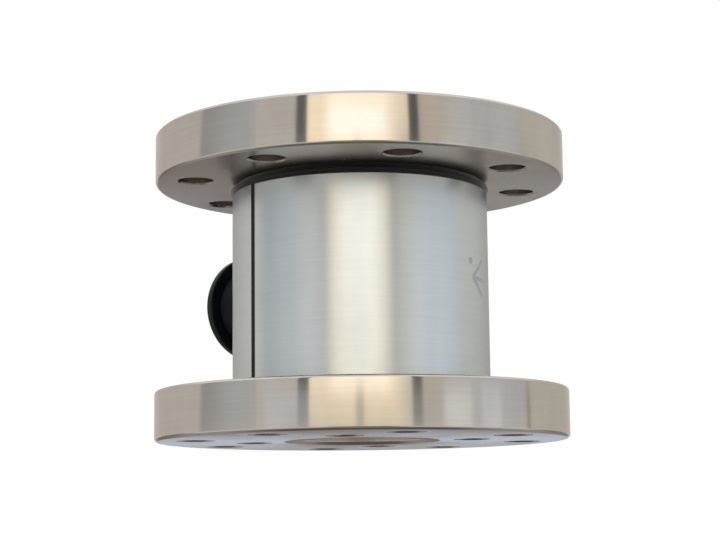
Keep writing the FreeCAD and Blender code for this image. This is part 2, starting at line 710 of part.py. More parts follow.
insert = new_body("connector_insert")
along_connector(insert)
insert_profile = new_sketch(insert, "insert_profile", "XZ_Plane")
polygon(insert_profile, [
    ("0", "insert_end"),
    ("insert_tail_dia / 2", "insert_end"),
    ("insert_tail_dia / 2", "insert_step"),
    ("mouth_dia / 2 - fit_gap", "insert_step"),
    ("mouth_dia / 2 - fit_gap", "insert_face"),
    ("0", "insert_face"),
])
revolve(insert, "insert_turned", insert_profile)
contact_sketch = new_sketch(insert, "contact_sketch", "XY_Plane", "insert_face")
circle(contact_sketch, "pin_circle / 2", "0", "pin_dia + fit_gap")
contact_hole = pocket(insert, "contact_hole", contact_sketch)
pattern(insert, "contact_holes", contact_hole, (contact_sketch, ["N_Axis"]), "pin_count")

pins = []
leads = []
for index in range(int(number("pin_count"))):
    angle = 2 * math.pi * index / number("pin_count")
    x = "pin_circle / 2 * %.6f" % math.cos(angle)
    z = "conn_height - pin_circle / 2 * %.6f" % math.sin(angle)
    pins.append(through_board("contact_%d" % (index + 1), x, z, "pin_dia",
                              "insert_face + pin_reach - pin_end", "pin_end"))
    leads.append(through_board("lead_%d" % (index + 1), x, z, "lead_dia",
                               "pin_end - board_outer", "board_outer"))
group("contact_pins", pins)
group("connector_leads", leads)


# Every sub-part, checked and written to a file of its own name.

NODES = ["torsion_body", "cover_front", "cover_rear", "split_seal_left", "split_seal_right",
         "upper_seal_ring", "lower_seal_ring", "gauge_1", "gauge_2", "gauge_3", "gauge_4",
         "gauge_harness", "terminal_board", "board_screws", "trim_resistors",
         "connector_gasket", "connector_adapter", "adapter_screws", "connector_oring",
         "connector_shell", "connector_insert", "contact_pins", "connector_leads"]

doc.recompute()
for item in doc.Objects:
    if "Invalid" in item.State or "Error" in item.State:
        raise RuntimeError("%s failed: %s" % (item.Name, item.getStatusString()))
os.makedirs("parts", exist_ok=True)
for name in NODES:
    found = doc.getObjectsByLabel(name)
    if len(found) != 1:
        raise RuntimeError(name + " isn't one object")
    shape = found[0].Shape
    if shape.isNull() or not shape.isValid() or not shape.Solids:
        raise RuntimeError(name + " has no valid solid")
    print("%-20s %2d solids %10.1f mm3" % (name, len(shape.Solids), shape.Volume))
    shape.exportStep("parts/%s.step" % name)
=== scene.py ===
import math

import bmesh
import bpy
from mathutils import Matrix, Vector


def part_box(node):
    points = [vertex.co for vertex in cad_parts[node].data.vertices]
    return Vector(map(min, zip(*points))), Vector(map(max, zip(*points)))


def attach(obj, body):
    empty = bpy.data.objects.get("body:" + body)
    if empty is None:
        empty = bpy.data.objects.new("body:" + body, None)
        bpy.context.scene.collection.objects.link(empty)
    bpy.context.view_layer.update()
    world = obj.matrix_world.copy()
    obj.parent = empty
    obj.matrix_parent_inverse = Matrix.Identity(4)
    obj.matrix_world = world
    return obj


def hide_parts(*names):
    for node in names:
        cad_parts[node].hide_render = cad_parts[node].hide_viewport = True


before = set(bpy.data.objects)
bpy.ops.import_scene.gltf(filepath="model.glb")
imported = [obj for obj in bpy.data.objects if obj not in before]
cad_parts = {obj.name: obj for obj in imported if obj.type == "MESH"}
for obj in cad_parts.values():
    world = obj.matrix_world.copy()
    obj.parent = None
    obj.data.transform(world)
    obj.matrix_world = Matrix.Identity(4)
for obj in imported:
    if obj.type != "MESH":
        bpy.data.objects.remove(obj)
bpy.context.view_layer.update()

# Sizes in millimetres, in the frame of the CAD: +Z along the axis, +Y towards the connector.
MM = 0.001


def extent(node):
    """Lowest and highest corner of a CAD node in millimetres."""
    low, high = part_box(node)
    return Vector(low) / MM, Vector(high) / MM


# Sensor: what the solids tell, then the sizes that only the surface shows.
body_high = extent("torsion_body")[1]
cover_low, cover_high = extent("cover_front")
LENGTH = body_high.z
FLANGE_RAD = body_high.x
FLANGE_THICK = cover_low.z
UPPER_FACE = LENGTH - FLANGE_THICK
COVER_RAD = -cover_low.y
COVER_TOP = cover_high.z
COVER_WALL = 2.5
FIT = 0.1               # gap between pieces that slide together
SHOULDER_GAP = 0.6
COVER_INNER = COVER_RAD - COVER_WALL
SPIGOT_RAD = COVER_INNER - FIT
SHOULDER_RAD = COVER_INNER - SHOULDER_GAP
SHOULDER = 8.0
TUBE_FILLET = 4.0
TUBE_RAD = 22.5
BORE_RAD = 18.4
BORE_BREAK = 0.8
OUTER_BREAK = 0.55
INNER_BREAK = 0.5
EDGE_DISTANCE = 9.525
BOLT_CIRCLE = FLANGE_RAD - EDGE_DISTANCE
BOLT_HOLE = 4.37
BOLT_CLOCK = 22.5
TAPPED_FROM_BORE = 8.59
TAPPED_CIRCLE = BORE_RAD + TAPPED_FROM_BORE
TAPPED_HOLE = 4.25
TAPPED_CLOCK = 45.0
TAPPED_DEPTH = 9.5
THREAD_PITCH = 1.5875
SLIT = 1.6
SEAL_RAD = extent("upper_seal_ring")[1].x

# Connector, measured along its own axis from the sensor's.
shell_low, shell_high = extent("connector_shell")
adapter_high = extent("connector_adapter")[1]
insert_low, insert_high = extent("connector_insert")
pin_low, pin_high = extent("contact_pins")
screw_low, screw_high = extent("adapter_screws")
AXIS_UP = (shell_low.z + shell_high.z) / 2
SADDLE_RAD = adapter_high.x
HEAD_RAD = 2.2
HEAD_HIGH = 2.5
SADDLE_THICK = 3.0
SADDLE_FACE = screw_high.y - HEAD_HIGH
SEAT_RAD = SADDLE_FACE - SADDLE_THICK
NECK_RAD = 9.6
NECK_FLARE = 1.6
NECK_BORE = 7.5
COLLAR_RAD = shell_high.x
COLLAR_BACK = adapter_high.y
COLLAR_THICK = 2.4
COLLAR_FACE = COLLAR_BACK + COLLAR_THICK
BARREL_RAD = 9.5
BARREL_END = shell_high.y
MOUTH_RAD = 7.9
TAIL_RAD = 6.4
INSERT_FACE = insert_high.y
INSERT_THICK = 1.6
INSERT_STEP = INSERT_FACE - INSERT_THICK
PIN_RAD = 0.5
PIN_CIRCLE = pin_high.x - PIN_RAD
SCREW_ACROSS = screw_high.x - HEAD_RAD

# The photograph was taken from this side: degrees from -Y towards +X.
VIEW_TURN = -36.3


# Mesh tools.

SHARP = math.radians(30)    # edges that bend more than this stay crisp
WELD = 1e-5                 # points nearer than this are one
ON_AXIS = 1e-6              # a smaller radius is a point on the axis
ARC_STEPS = 4               # straight pieces of an eased corner
CUT_PAST = 1.0              # how far a cutter reaches past the faces that it opens


def new_object(name, mesh):
    piece = bpy.data.objects.new(name, mesh)
    bpy.context.scene.collection.objects.link(piece)
    return piece


def finish_mesh(name, bm, material):
    """Object from a bmesh in millimetres, smooth except at sharp edges."""
    bmesh.ops.remove_doubles(bm, verts=bm.verts, dist=WELD)
    bmesh.ops.recalc_face_normals(bm, faces=bm.faces)
    bmesh.ops.scale(bm, vec=(MM, MM, MM), verts=bm.verts)
    mesh = bpy.data.meshes.new(name)
    bm.to_mesh(mesh)
    bm.free()
    return dress(new_object(name, mesh), material)


def dress(piece, material):
    mesh = piece.data
    mesh.materials.clear()
    mesh.materials.append(material)
    mesh.shade_smooth()
    mesh.set_sharp_from_angle(angle=SHARP)
    return piece


def eased(points):
    """Outline in which a corner (r, z, size) becomes a small arc."""
    outline = []
    count = len(points)
    for index, point in enumerate(points):
        here = Vector(point[:2])
        if len(point) == 2:
            outline.append(here)
            continue
        before = (Vector(points[index - 1][:2]) - here).normalized()
        after = (Vector(points[(index + 1) % count][:2]) - here).normalized()
        start = here + before * point[2]
        stop = here + after * point[2]
        for step in range(ARC_STEPS + 1):
            share = step / ARC_STEPS
            first = start.lerp(here, share)
            second = here.lerp(stop, share)
            outline.append(first.lerp(second, share))
    return outline


def turn(bm, points, steps=256, spread=None):
    """Solid of revolution about Z. spread(r) gives the first and last angle of an open sweep."""
    outline = eased(points)
    rows = []
    for point in outline:
        radius, level = point
        if radius < ON_AXIS:
            rows.append([bm.verts.new((0, 0, level))])
            continue
        first, last = spread(radius) if spread else (0, 2 * math.pi)
        count = steps + 1 if spread else steps
        row = []
        for step in range(count):
            angle = first + (last - first) * step / steps
            row.append(bm.verts.new((radius * math.cos(angle), radius * math.sin(angle), level)))
        rows.append(row)
    for index, row in enumerate(rows):
        other = rows[(index + 1) % len(rows)]
        if len(row) == 1 and len(other) == 1:
            continue
        for step in range(steps):
            after = step + 1 if spread else (step + 1) % steps
            if len(row) == 1:
                bm.faces.new((row[0], other[after], other[step]))
            elif len(other) == 1:
                bm.faces.new((row[step], row[after], other[0]))
            else:
                bm.faces.new((row[step], row[after], other[after], other[step]))
    if spread:
        bm.faces.new([row[0] for row in rows])
        bm.faces.new([row[-1] for row in reversed(rows)])
    return bm


def turned(name, points, material, steps=256, spread=None):
    """Solid of revolution as an object."""
    return finish_mesh(name, turn(bmesh.new(), points, steps, spread), material)


def subtract(piece, cutter, material):
    """Cuts one mesh out of another and removes the cutter."""
    tool = piece.modifiers.new("cut", "BOOLEAN")
    tool.operation = "DIFFERENCE"
    tool.solver = "EXACT"
    tool.object = cutter
    bpy.context.view_layer.update()
    ready = piece.evaluated_get(bpy.context.evaluated_depsgraph_get())
    mesh = bpy.data.meshes.new_from_object(ready)
    piece.modifiers.clear()
    piece.data = mesh
    bpy.data.objects.remove(cutter)
    return dress(piece, material)


def to_connector(piece):
    """Moves a mesh built along its own Z to the connector's axis."""
    place = Matrix.Translation((0, 0, AXIS_UP * MM)) @ Matrix.Rotation(-math.pi / 2, 4, "X")
    piece.data.transform(place)
    return piece


def joined(name, pieces):
    """Several meshes as one object."""
    bm = bmesh.new()
    material = pieces[0].data.materials[0]
    for piece in pieces:
        bm.from_mesh(piece.data)
        bpy.data.objects.remove(piece)
    mesh = bpy.data.meshes.new(name)
    bm.to_mesh(mesh)
    bm.free()
    return dress(new_object(name, mesh), material)


# Material tools.

def math_node(tree, operation, *values):
    """Math node; each input is a number or the output of another node."""
    node = tree.nodes.new("ShaderNodeMath")
    node.operation = operation
    for socket, value in zip(node.inputs, values):
        if isinstance(value, (int, float)):
            socket.default_value = value
        else:
            tree.links.new(value, socket)
    return node.outputs[0]


class Nodes:
    """Short way to build a node tree."""

    def __init__(self, name):
        self.material = bpy.data.materials.new(name)
        self.material.use_nodes = True
        self.tree = self.material.node_tree
        self.shader = self.tree.nodes["Principled BSDF"]
        place = self.add("ShaderNodeTexCoord")
        self.place = place.outputs["Object"]

    def add(self, kind, **settings):
        node = self.tree.nodes.new(kind)
        for key, value in settings.items():
            setattr(node, key, value)
        return node

    def link(self, source, target):
        self.tree.links.new(source, target)

    def set(self, **values):
        for key, value in values.items():
            self.shader.inputs[key.replace("_", " ")].default_value = value

    def math(self, operation, *values):
        return math_node(self.tree, operation, *values)

    def scaled(self, vector, scale):
        node = self.add("ShaderNodeVectorMath", operation="MULTIPLY")
        self.link(vector, node.inputs[0])
        node.inputs[1].default_value = scale
        return node.outputs[0]

    def noise(self, vector, scale, detail, rough):
        node = self.add("ShaderNodeTexNoise")
        self.link(vector, node.inputs["Vector"])
        node.inputs["Scale"].default_value = scale
        node.inputs["Detail"].default_value = detail
        node.inputs["Roughness"].default_value = rough
        return node.outputs["Fac"]

    def ramp(self, value, low, high, first, last):
        """Value between low and high becomes a mix of two colours."""
        node = self.add("ShaderNodeValToRGB")
        self.link(value, node.inputs[0])
        node.color_ramp.elements[0].position = low
        node.color_ramp.elements[1].position = high
        node.color_ramp.elements[0].color = (*first, 1)
        node.color_ramp.elements[1].color = (*last, 1)
        return node.outputs[0]

    def between(self, value, low, high, first, last):
        """Value between low and high becomes a number between first and last."""
        node = self.add("ShaderNodeMapRange")
        self.link(value, node.inputs["Value"])
        node.inputs["From Min"].default_value = low
        node.inputs["From Max"].default_value = high
        node.inputs["To Min"].default_value = first
        node.inputs["To Max"].default_value = last
        return node.outputs["Result"]

    def mix_colors(self, kind, first, second):
        """Mix node for two colours, with its factor and its result."""
        node = self.add("ShaderNodeMix", data_type="RGBA", blend_type=kind)
        self.link(first, node.inputs[6])
        self.link(second, node.inputs[7])
        return node.inputs[0], node.outputs[2]

    def blend(self, factor, first, second):
        share, result = self.mix_colors("MIX", first, second)
        self.link(factor, share)
        return result

    def times(self, first, second):
        share, result = self.mix_colors("MULTIPLY", first, second)
        share.default_value = 1.0
        return result

    def bump(self, height, depth):
        node = self.add("ShaderNodeBump")
        node.inputs["Strength"].default_value = 1.0
        node.inputs["Distance"].default_value = depth
        self.link(height, node.inputs["Height"])
        return node.outputs["Normal"]

    def round_place(self):
        """Distance from the axis, angle about it and height, in metres and radians."""
        parts = self.add("ShaderNodeSeparateXYZ")
        self.link(self.place, parts.inputs[0])
        x, y, z = parts.outputs
        square = self.math("ADD", self.math("MULTIPLY", x, x), self.math("MULTIPLY", y, y))
        return self.math("SQRT", square), self.math("ARCTAN2", y, x), z

    def ringed(self, angle, run, spread, pace):
        """Place on a small circle, so that a noise read there has no seam. It moves on by pace
        times the run across the marks, and marks turn out long where spread is small."""
        node = self.add("ShaderNodeCombineXYZ")
        self.link(self.math("MULTIPLY", self.math("COSINE", angle), spread), node.inputs[0])
        self.link(self.math("MULTIPLY", self.math("SINE", angle), spread), node.inputs[1])
        self.link(self.math("MULTIPLY", run, pace), node.inputs[2])
        return node.outputs[0]

    def drawn_round(self):
        """Stretches highlights across marks that run round the axis."""
        tangent = self.add("ShaderNodeTangent", direction_type="RADIAL", axis="Z")
        self.link(tangent.outputs[0], self.shader.inputs["Tangent"])
        self.shader.inputs["Anisotropic Rotation"].default_value = 0.25

    def flatness(self):
        """1 on faces square to the axis, 0 on the walls round it."""
        parts = self.add("ShaderNodeSeparateXYZ")
        normal = self.add("ShaderNodeTexCoord")
        self.link(normal.outputs["Normal"], parts.inputs[0])
        return self.between(self.math("ABSOLUTE", parts.outputs[2]), 0.6, 0.95, 0.0, 1.0)


GROUND = 0.09    # how much smoother the two mating faces are than the faces between
UNEVEN = 0.035   # how far the roughness strays


def shades(strength):
    """Grey that a mark of that strength multiplies the colour by, and the clean colour."""
    return (1.0 - strength,) * 3, (1.0, 1.0, 1.0)


def turned_metal(name, color, tint, wall_rough, face_rough, lines, grain, wiped, anisotropic,
                 edge_tint=(1.0, 1.0, 1.0)):
    """Turned metal: fine rings, faint stains, wiped patches and a highlight drawn across the
    rings. lines, grain and wiped say how strong these marks are."""
    node = Nodes(name)
    radius, angle, level = node.round_place()
    run = node.math("ADD", radius, level)
    ring_place = node.ringed(angle, run, 0.012, 8.0)
    coarse = node.noise(ring_place, 190.0, 3.0, 0.6)
    fine = node.noise(ring_place, 900.0, 3.0, 0.6)
    stains = node.noise(node.scaled(node.place, (1.0, 1.0, 0.45)), 70.0, 5.0, 0.65)
    cloud = node.noise(node.place, 16.0, 2.0, 0.5)
    speckle = node.noise(node.place, 2400.0, 2.0, 0.6)
    flat = node.flatness()
    smears = node.noise(node.ringed(angle, run, 0.05, 0.12), 90.0, 3.0, 0.6)
    patches = node.between(node.noise(node.place, 30.0, 2.0, 0.5), 0.42, 0.58, 0.0, 1.0)

    base = node.ramp(stains, 0.32, 0.7, color, tint)
    bluish = (1.0 - wiped, 1.0 - 0.95 * wiped, 1.0 - 0.85 * wiped)
    smear = node.ramp(smears, 0.36, 0.6, bluish, (1.0, 1.0, 1.0))
    base = node.blend(patches, base, node.times(base, smear))
    base = node.times(base, node.ramp(coarse, 0.3, 0.7, *shades(lines)))
    dots = node.ramp(speckle, 0.28, 0.5, *shades(grain))
    base = node.blend(flat, base, node.times(base, dots))
    node.link(base, node.shader.inputs["Base Color"])

    marks = node.math("ADD", node.math("MULTIPLY", stains, 0.35),
                      node.math("MULTIPLY", smears, 0.3))
    uneven = node.between(node.math("ADD", marks, node.math("MULTIPLY", cloud, 0.35)),
                          0.35, 0.65, -UNEVEN, UNEVEN)
    level_rough = node.between(flat, 0.0, 1.0, wall_rough, face_rough)
    from_middle = node.math("ABSOLUTE", node.math("SUBTRACT", level, LENGTH / 2 * MM))
    mating = node.between(from_middle, (LENGTH / 2 - 1.0) * MM, (LENGTH / 2 - 0.6) * MM,
                          0.0, -GROUND)
    level_rough = node.math("ADD", level_rough, node.math("MULTIPLY", mating, flat))
    node.link(node.math("ADD", level_rough, uneven), node.shader.inputs["Roughness"])

    height = node.math("ADD", node.math("MULTIPLY", fine, 0.35),
                       node.math("MULTIPLY", coarse, 0.65))
    rough_face = node.math("MULTIPLY", node.math("MULTIPLY", speckle, flat), 2.0)
    node.link(node.bump(node.math("ADD", height, rough_face), 0.0000016),
              node.shader.inputs["Normal"])
    node.set(Metallic=1.0, Anisotropic=anisotropic, Specular_Tint=(*edge_tint, 1))
    node.drawn_round()
    return node.material


GLOSS_SPREAD = 0.06


def grained(name, color, other, rough, scale, depth, metallic=0.0, **values):
    """Moulded, painted or plated surface with a fine grain and uneven gloss."""
    node = Nodes(name)
    grain = node.noise(node.place, scale, 4.0, 0.6)
    cloud = node.noise(node.place, scale * 0.06, 3.0, 0.55)
    node.link(node.ramp(cloud, 0.35, 0.7, color, other), node.shader.inputs["Base Color"])
    node.link(node.between(cloud, 0.3, 0.7, rough - GLOSS_SPREAD, rough + GLOSS_SPREAD),
              node.shader.inputs["Roughness"])
    node.link(node.bump(grain, depth), node.shader.inputs["Normal"])
    node.set(Metallic=metallic, **values)
    return node.material


def plate_lines(name, color, line_color, across, up, rough):
    """Flat film or board with a pattern of straight lines along two slants."""
    node = Nodes(name)
    parts = node.add("ShaderNodeSeparateXYZ")
    node.link(node.place, parts.inputs[0])
    slant = node.math("ADD", node.math("MULTIPLY", parts.outputs[0], across),
                      node.math("MULTIPLY", parts.outputs[2], up))
    wave = node.math("SINE", slant)
    cloud = node.noise(node.place, 300.0, 3.0, 0.5)
    base = node.ramp(wave, 0.82, 0.9, color, line_color)
    node.link(base, node.shader.inputs["Base Color"])
    node.link(node.between(cloud, 0.3, 0.7, rough - 0.08, rough + 0.08),
              node.shader.inputs["Roughness"])
    node.link(node.bump(wave, 0.00003), node.shader.inputs["Normal"])
    return node.material


STEEL = turned_metal("steel_turned", (0.64, 0.62, 0.58), (0.58, 0.565, 0.535),
                     wall_rough=0.13, face_rough=0.26, lines=0.05, grain=0.16, wiped=0.10,
                     anisotropic=0.7, edge_tint=(0.86, 0.85, 0.84))
# Steel of the bore and the holes: rougher, and darker and browner in colour. The colour is partly
# the bored finish and partly painted shade of these recesses.
BORED_SHADED = turned_metal("steel_bored_shaded", (0.60, 0.555, 0.52), (0.54, 0.50, 0.465),
                     wall_rough=0.26, face_rough=0.30, lines=0.10, grain=0.1, wiped=0.10,
                     anisotropic=0.0)
ALUMINIUM = turned_metal("cover_aluminium", (0.715, 0.78, 0.81), (0.68, 0.745, 0.78),
                         wall_rough=0.31, face_rough=0.34, lines=0.05, grain=0.1, wiped=0.03,
                         anisotropic=0.5, edge_tint=(0.64, 0.64, 0.66))
SEAL = grained("seal_rubber", (0.004, 0.004, 0.0045), (0.007, 0.007, 0.0085),
               rough=0.38, scale=1800.0, depth=0.00002,
               Specular_IOR_Level=0.25, Sheen_Weight=0.35, Sheen_Roughness=0.35)
ANODISED = grained("black_anodised", (0.005, 0.0065, 0.008), (0.009, 0.0115, 0.0135),
                   rough=0.40, scale=2600.0, depth=0.000008, Specular_IOR_Level=0.15)
INSERT = grained("insert_plastic", (0.02, 0.02, 0.022), (0.035, 0.034, 0.034),
                 rough=0.5, scale=2200.0, depth=0.00001)
GOLD = grained("contact_gold", (0.92, 0.66, 0.26), (0.85, 0.58, 0.22),
               rough=0.2, scale=3000.0, depth=0.000002, metallic=1.0)
SCREW = grained("screw_steel", (0.48, 0.48, 0.49), (0.40, 0.40, 0.41),
                rough=0.28, scale=2500.0, depth=0.000004, metallic=1.0)
LEAD = grained("lead_insulation", (0.50, 0.03, 0.025), (0.42, 0.025, 0.02),
               rough=0.4, scale=1500.0, depth=0.00001)
CHIP = grained("resistor_body", (0.02, 0.02, 0.024), (0.035, 0.035, 0.04),
               rough=0.4, scale=2500.0, depth=0.00001)
FILM = plate_lines("gauge_film", (0.55, 0.30, 0.07), (0.40, 0.24, 0.10),
                   across=4000.0, up=4000.0, rough=0.35)
BOARD = plate_lines("board_laminate", (0.02, 0.14, 0.06), (0.03, 0.20, 0.09),
                    across=0.0, up=2600.0, rough=0.42)


# Torsion body: turned with softly broken edges, then drilled.

body_outline = [
    (BORE_RAD, BORE_BREAK, 0.2), (BORE_RAD + BORE_BREAK, 0.0, 0.2),
    (FLANGE_RAD - OUTER_BREAK, 0.0, 0.25), (FLANGE_RAD, OUTER_BREAK, 0.25),
    (FLANGE_RAD, FLANGE_THICK - INNER_BREAK, 0.25),
    (FLANGE_RAD - INNER_BREAK, FLANGE_THICK, 0.25),
    (SPIGOT_RAD, FLANGE_THICK), (SPIGOT_RAD, FLANGE_THICK + SHOULDER),
    (TUBE_RAD, FLANGE_THICK + SHOULDER, TUBE_FILLET),
    (TUBE_RAD, UPPER_FACE - SHOULDER, TUBE_FILLET),
    (SHOULDER_RAD, UPPER_FACE - SHOULDER), (SHOULDER_RAD, UPPER_FACE),
    (FLANGE_RAD - INNER_BREAK, UPPER_FACE, 0.25),
    (FLANGE_RAD, UPPER_FACE + INNER_BREAK, 0.25),
    (FLANGE_RAD, LENGTH - OUTER_BREAK, 0.25), (FLANGE_RAD - OUTER_BREAK, LENGTH, 0.25),
    (BORE_RAD + BORE_BREAK, LENGTH, 0.2), (BORE_RAD, LENGTH - BORE_BREAK, 0.2),
]
body = turned("spool", body_outline, STEEL)


MOUTH_EASE = 0.35
THREAD_DEEP = 0.45
THREAD_CREST = 0.15     # how far the crests stand inside the hole's radius
THREAD_MOUTH = 0.5
POINT_SHARE = 0.6       # height of the drill point over the hole's radius
THREAD_SIDES = 40
ROWS_PER_TURN = 8


def shift(bm, start, centre):
    """Moves the points made since start to the centre."""
    bm.verts.ensure_lookup_table()
    fresh = [bm.verts[index] for index in range(start, len(bm.verts))]
    bmesh.ops.translate(bm, vec=(*centre, 0.0), verts=fresh)


def drill(bm, radius, low, high, centre):
    """Cutter for a through hole with eased mouths."""
    start = len(bm.verts)
    wide = radius + MOUTH_EASE + CUT_PAST
    turn(bm, [(0.0, low - CUT_PAST), (wide, low - CUT_PAST), (radius, low + MOUTH_EASE),
              (radius, high - MOUTH_EASE), (wide, high + CUT_PAST), (0.0, high + CUT_PAST)], 56)
    shift(bm, start, centre)


def tap(bm, radius, depth, pitch, centre):
    """Cutter for a blind tapped hole: a helical groove and a drill point."""
    start = len(bm.verts)
    rise_steps = int(depth / pitch * ROWS_PER_TURN)
    rows = []
    for level in range(rise_steps + 1):
        row = []
        z = -CUT_PAST + (depth + CUT_PAST) * level / rise_steps
        for step in range(THREAD_SIDES):
            angle = 2 * math.pi * step / THREAD_SIDES
            turn_share = (z / pitch - step / THREAD_SIDES) % 1.0
            groove = THREAD_DEEP * (1 - abs(2 * turn_share - 1))
            mouth = max(0.0, THREAD_MOUTH - z)
            size = radius - THREAD_CREST + max(groove * min(1.0, (depth - z) / pitch), mouth)
            row.append(bm.verts.new((size * math.cos(angle), size * math.sin(angle), z)))
        rows.append(row)
    for lower, upper in zip(rows, rows[1:]):
        for step in range(THREAD_SIDES):
            after = (step + 1) % THREAD_SIDES
            bm.faces.new((lower[step], lower[after], upper[after], upper[step]))
    tip = bm.verts.new((0, 0, depth + radius * POINT_SHARE))
    foot = bm.verts.new((0, 0, -CUT_PAST))
    for step in range(THREAD_SIDES):
        after = (step + 1) % THREAD_SIDES
        bm.faces.new((rows[-1][step], rows[-1][after], tip))
        bm.faces.new((rows[0][after], rows[0][step], foot))
    shift(bm, start, centre)


def on_circle(radius, degrees):
    angle = math.radians(degrees)
    return radius * math.cos(angle), radius * math.sin(angle)


cutter = bmesh.new()
for index in range(8):
    centre = on_circle(BOLT_CIRCLE, BOLT_CLOCK + 45 * index)
    drill(cutter, BOLT_HOLE, 0.0, FLANGE_THICK, centre)
    drill(cutter, BOLT_HOLE, UPPER_FACE, LENGTH, centre)
for index in range(4):
    centre = on_circle(TAPPED_CIRCLE, TAPPED_CLOCK + 90 * index)
    tap(cutter, TAPPED_HOLE, TAPPED_DEPTH, THREAD_PITCH, centre)
body = subtract(body, finish_mesh("holes", cutter, STEEL), STEEL)


BORE_EDGE = 0.5     # the bore's eased mouth counts as bore
RIM_EDGE = 1.0      # the flange's rim with its eased edges doesn't
BELOW_FACE = 0.01


def is_bored(face):
    """True on the walls of the bore and of the holes."""
    centre = face.center / MM
    radius = math.hypot(centre.x, centre.y)
    depth = min(abs(centre.z), abs(centre.z - FLANGE_THICK), abs(centre.z - UPPER_FACE),
                abs(centre.z - LENGTH))
    in_flange = centre.z < FLANGE_THICK or centre.z > UPPER_FACE
    in_hole = in_flange and depth > BELOW_FACE and radius < FLANGE_RAD - RIM_EDGE
    return radius < BORE_RAD + BORE_EDGE or in_hole


# The walls of the bore and the holes take the darker steel, partly painted shade.
body.data.materials.append(BORED_SHADED)
for face in body.data.polygons:
    if is_bored(face):
        face.material_index = 1
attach(body, "root")
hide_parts("torsion_body")


# Cover: two half shells with flat split faces.

def half_sweep(side):
    """Angles between which one half of the cover runs, for each radius."""
    def angles(radius):
        lean = math.asin(SLIT / 2 / radius)
        first = lean if side > 0 else math.pi + lean
        return first, first + math.pi - 2 * lean
    return angles


COVER_EDGE = 0.3
cover_outline = [
    (COVER_INNER, FLANGE_THICK), (COVER_RAD, FLANGE_THICK),
    (COVER_RAD, COVER_TOP - COVER_EDGE, 0.1), (COVER_RAD - COVER_EDGE, COVER_TOP, 0.1),
    (COVER_INNER, COVER_TOP),
]
for node, side in (("cover_front", -1), ("cover_rear", 1)):
    half = turned(node + "_half", cover_outline, ALUMINIUM, 160, half_sweep(side))
    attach(half, "root")
    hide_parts(node)


# Direction mark, etched into the cover: an arrow that points round the axis, and a dot.

MARK_LIFT = 0.02
MARK_WIDTH = 1.0
MARK_STEPS = 12
DOT_SIDES = 24
ETCHED = grained("etched_mark", (0.42, 0.48, 0.54), (0.49, 0.56, 0.62),
                 rough=0.36, scale=1600.0, depth=0.000004, metallic=1.0)


def on_cover(turn_angle, level):
    """Point just above the cover, at degrees from -Y towards +X."""
    angle = math.radians(turn_angle)
    size = COVER_RAD + MARK_LIFT
    return size * math.sin(angle), -size * math.cos(angle), level


def etched_line(bm, first, last):
    """Thin line on the cover between two points (degrees, height)."""
    per_degree = math.radians(COVER_RAD)
    along = Vector(((last[0] - first[0]) * per_degree, last[1] - first[1]))
    aside = Vector((-along.y, along.x)).normalized() * MARK_WIDTH / 2
    rows = []
    for step in range(MARK_STEPS + 1):
        share = step / MARK_STEPS
        turn_angle = first[0] + (last[0] - first[0]) * share
        level = first[1] + (last[1] - first[1]) * share
        rows.append([bm.verts.new(on_cover(turn_angle + side * aside.x / per_degree,
                                           level + side * aside.y)) for side in (-1, 1)])
    for before, after in zip(rows, rows[1:]):
        bm.faces.new((before[0], before[1], after[1], after[0]))


def etched_dot(bm, middle, radius):
    """Round dot on the cover."""
    per_degree = math.radians(COVER_RAD)
    hub = bm.verts.new(on_cover(*middle))
    ring = []
    for step in range(DOT_SIDES):
        x, z = on_circle(radius, 360 / DOT_SIDES * step)
        ring.append(bm.verts.new(on_cover(middle[0] + x / per_degree, middle[1] + z)))
    for step in range(DOT_SIDES):
        bm.faces.new((hub, ring[step], ring[(step + 1) % DOT_SIDES]))


mark = bmesh.new()
ARROW_TIP = (21.8, 38.1)
for end in ((31.6, 42.5), (31.4, 33.9), (47.0, 37.4)):
    etched_line(mark, ARROW_TIP, end)
etched_dot(mark, (20.0, 41.9), 0.8)
mark = finish_mesh("direction_mark", mark, ETCHED)
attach(mark, "root")


# Soft seals: strips in the splits and the ring under the upper flange.

STRIP_INNER = 29.2
STRIP_SUNK = 0.25
STRIP_HOLLOW = 0.12
STRIP_STEPS = 8


def strip(name, node, side):
    """Sealing strip with a slightly hollow outer face."""
    bm = bmesh.new()
    rows = []
    for level in (FLANGE_THICK, COVER_TOP):
        row = []
        for step in range(STRIP_STEPS + 1):
            share = step / STRIP_STEPS
            dip = STRIP_HOLLOW * (1 - (2 * share - 1) ** 2)
            row.append(bm.verts.new((side * (COVER_RAD - STRIP_SUNK - dip),
                                     -SLIT / 2 + SLIT * share, level)))
        row.append(bm.verts.new((side * STRIP_INNER, SLIT / 2, level)))
        row.append(bm.verts.new((side * STRIP_INNER, -SLIT / 2, level)))
        rows.append(row)
    lower, upper = rows
    count = len(lower)
    for step in range(count):
        after = (step + 1) % count
        bm.faces.new((lower[step], lower[after], upper[after], upper[step]))
    bm.faces.new(lower)
    bm.faces.new(upper)
    piece = finish_mesh(name, bm, SEAL)
    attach(piece, "root")
    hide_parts(node)


strip("split_strip_left", "split_seal_left", -1)
strip("split_strip_right", "split_seal_right", 1)

RING_INNER = SHOULDER_RAD + 0.1
soft_ring = turned("soft_ring", [
    (RING_INNER, COVER_TOP), (SEAL_RAD - 0.7, COVER_TOP),
    (SEAL_RAD + 0.1, COVER_TOP + 0.9, 0.8), (SEAL_RAD - 1.7, UPPER_FACE, 0.2),
    (RING_INNER, UPPER_FACE),
], SEAL)
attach(soft_ring, "root")
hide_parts("upper_seal_ring")


# Connector, built along its own Z.

